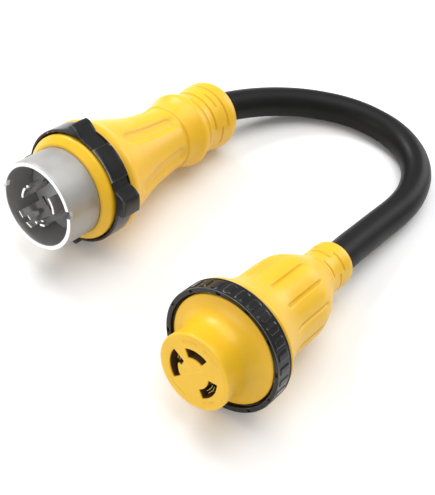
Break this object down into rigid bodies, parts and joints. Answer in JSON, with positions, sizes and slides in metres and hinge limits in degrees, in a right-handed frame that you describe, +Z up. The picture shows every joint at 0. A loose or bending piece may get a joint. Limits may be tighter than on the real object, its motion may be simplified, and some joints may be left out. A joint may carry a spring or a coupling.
{
  "type": "power adapter dogbone",
  "caption": "Dogbone power adapter: a flared locking plug with curved blades and a round three-slot locking connector on a short thick cord bent into a U.",
  "frame": {"origin": "centre of the footprint of everything but the cord, on the surface that the adapter lies on", "axes": "+Z up; the mating faces of the plug and the connector point towards -Y; +X runs from the plug to the connector"},
  "size_m": [0.2236, 0.3082, 0.0862],
  "materials": {
    "yellow_plastic": "satin moulded",
    "black_plastic": "satin moulded",
    "cord_jacket": "semi-matt",
    "inner_plastic": "moulded",
    "plated_steel": "satin plated",
    "nickel_blade": "nickel plated",
    "brass_contact": "plain",
    "washer_rubber": "matt",
    "lead_black": "smooth",
    "lead_white": "smooth",
    "lead_green": "smooth"
  },
  "bodies": {
    "adapter": {"plug_shroud": "plated_steel", "plug_insert": "inner_plastic", "plug_blade_line_1": "nickel_blade", "plug_blade_line_2": "nickel_blade", "plug_blade_neutral": "nickel_blade", "plug_blade_ground": "nickel_blade", "plug_body": "yellow_plastic", "plug_core": "inner_plastic", "plug_strain_relief": "yellow_plastic", "plug_cord_clamp": "plated_steel", "plug_jacket_end": "cord_jacket", "plug_lead_line": "lead_black", "plug_lead_neutral": "lead_white", "plug_lead_ground": "lead_green", "connector_front": "yellow_plastic", "connector_contact_carrier": "inner_plastic", "connector_contact_ground": "brass_contact", "connector_contact_line": "brass_contact", "connector_contact_neutral": "brass_contact", "connector_body": "yellow_plastic", "connector_core": "inner_plastic", "connector_strain_relief": "yellow_plastic", "connector_cord_clamp": "plated_steel", "connector_jacket_end": "cord_jacket", "connector_lead_line": "lead_black", "connector_lead_neutral": "lead_white", "connector_lead_ground": "lead_green", "cord": "cord_jacket"},
    "plug_ring_slider": {"plug_ring_washer": "washer_rubber"},
    "plug_ring": {"plug_locking_ring": "black_plastic"},
    "connector_ring_slider": {"connector_ring_washer": "washer_rubber"},
    "connector_ring": {"connector_locking_ring": "black_plastic"}
  },
  "joints": [
    {"name": "plug_ring_travel", "type": "slide", "parent": "adapter", "child": "plug_ring_slider", "axis": [0.0052, -0.99, 0.1409], "range_m": [0, 0.006]},
    {"name": "plug_ring_turn", "type": "hinge", "parent": "plug_ring_slider", "child": "plug_ring", "pos_m": [-0.06924, -0.03775, 0.0431], "axis": [0.0052, -0.99, 0.1409], "continuous": true},
    {"name": "connector_ring_travel", "type": "slide", "parent": "adapter", "child": "connector_ring_slider", "axis": [-0.0172, -0.9881, 0.153], "range_m": [0, 0.003]},
    {"name": "connector_ring_turn", "type": "hinge", "parent": "connector_ring_slider", "child": "connector_ring", "pos_m": [0.07301, -0.06737, 0.0394], "axis": [-0.0172, -0.9881, 0.153], "continuous": true}
  ]
}
